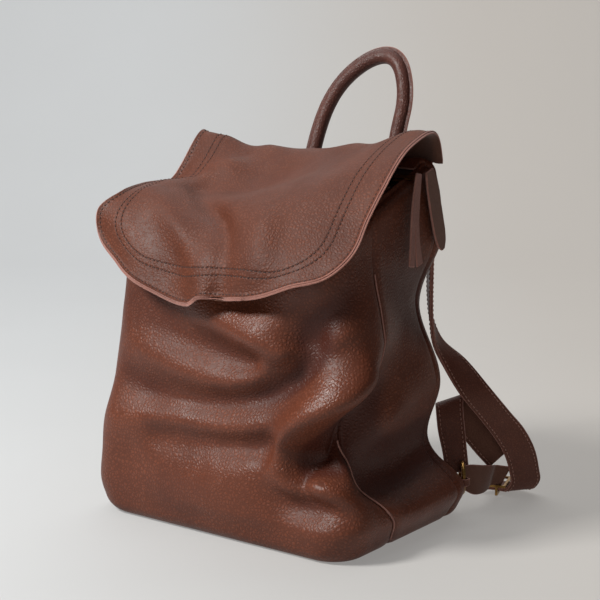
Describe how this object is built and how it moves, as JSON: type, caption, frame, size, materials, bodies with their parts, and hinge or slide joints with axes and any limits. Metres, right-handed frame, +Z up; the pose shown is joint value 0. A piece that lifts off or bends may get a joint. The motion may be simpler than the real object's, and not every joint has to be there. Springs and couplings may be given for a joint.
{
  "type": "leather backpack",
  "caption": "Slouchy leather backpack with a large front flap over a top zip, a rolled top handle, and two shoulder straps held by brass rings at the bottom corners.",
  "frame": {"origin": "centre of the underside of the base panel", "axes": "+X across the bag to the right as seen from the front, -Y out of the front panel, +Y towards the wearer's back, +Z up"},
  "size_m": [0.3686, 0.3185, 0.4425],
  "materials": {
    "body_leather": "pebbled chocolate brown leather with a satin finish",
    "flap_leather": "pebbled chocolate brown leather, slightly duller and lighter",
    "suede_side": "smooth brown leather facing",
    "strap_leather": "grained brown leather with raw, lighter cut edges and stitching",
    "zip_tape": "dark brown woven zip tape",
    "brass": "antique brass, lightly worn",
    "handle_cord": "twisted cord core",
    "board": "dark stiffener board"
  },
  "bodies": {
    "bag": {"base_panel": "body_leather", "front_panel": "body_leather", "back_panel": "body_leather", "left_side_panel": "body_leather", "right_side_panel": "body_leather", "front_top_panel": "body_leather", "back_top_panel": "body_leather", "base_board": "board", "flap_yoke": "flap_leather", "zip_tape_front": "zip_tape", "zip_tape_back": "zip_tape", "zip_teeth_front": "brass", "zip_teeth_back": "brass", "left_handle_tab": "strap_leather", "right_handle_tab": "strap_leather", "right_strap_anchor": "strap_leather", "left_strap_anchor": "strap_leather", "right_ring_tab": "strap_leather", "left_ring_tab": "strap_leather"},
    "flap": {"flap_shell": "flap_leather", "flap_facing": "suede_side"},
    "top_handle": {"handle_cover": "strap_leather", "handle_core": "handle_cord"},
    "slider": {"zip_slider": "brass", "zip_puller": "brass"},
    "pull": {"zip_pull_thong": "strap_leather"},
    "end_tab": {"zip_end_tab": "strap_leather"},
    "right_strap": {"right_shoulder_strap_outer": "strap_leather", "right_shoulder_strap_lining": "strap_leather", "right_adjuster_strap": "strap_leather", "right_strap_tail": "strap_leather", "right_ring": "brass"},
    "right_buckle": {"right_strap_buckle": "brass"},
    "left_strap": {"left_shoulder_strap_outer": "strap_leather", "left_shoulder_strap_lining": "strap_leather", "left_adjuster_strap": "strap_leather", "left_strap_tail": "strap_leather", "left_ring": "brass"},
    "left_buckle": {"left_strap_buckle": "brass"}
  },
  "joints": [
    {"name": "flap_fold", "type": "hinge", "parent": "bag", "child": "flap", "pos_m": [0, 0.06, 0.349], "axis": [-1, 0, 0], "range_deg": [0, 100]},
    {"name": "handle_tilt", "type": "hinge", "parent": "bag", "child": "top_handle", "pos_m": [0.023, 0.08, 0.3235], "axis": [-1, 0, 0], "range_deg": [0, 75]},
    {"name": "zip_slide", "type": "slide", "parent": "bag", "child": "slider", "axis": [1, 0, 0], "range_m": [-0.226, 0], "deforming": ["zip_pull_thong"]},
    {"name": "pull_swing", "type": "hinge", "parent": "slider", "child": "pull", "pos_m": [0.1424, 0.013, 0.3305], "axis": [0, -1, 0], "range_deg": [0, 70]},
    {"name": "end_tab_swing", "type": "hinge", "parent": "bag", "child": "end_tab", "pos_m": [0.1384, 0.032, 0.3325], "axis": [0, -1, 0], "range_deg": [0, 75]},
    {"name": "right_strap_swing", "type": "hinge", "parent": "bag", "child": "right_strap", "pos_m": [0.15152, 0.08927, 0.032], "axis": [0.1638, 0.0262, -0.9861], "range_deg": [0, 45]},
    {"name": "left_strap_swing", "type": "hinge", "parent": "bag", "child": "left_strap", "pos_m": [-0.15152, 0.08927, 0.032], "axis": [0.1638, -0.0262, 0.9861], "range_deg": [0, 45]},
    {"name": "right_buckle_slide", "type": "slide", "parent": "right_strap", "child": "right_buckle", "axis": [-0.9545, -0.2983, 0], "range_m": [0, 0.01]},
    {"name": "left_buckle_slide", "type": "slide", "parent": "left_strap", "child": "left_buckle", "axis": [0.9545, -0.2983, 0], "range_m": [0, 0.01]}
  ]
}
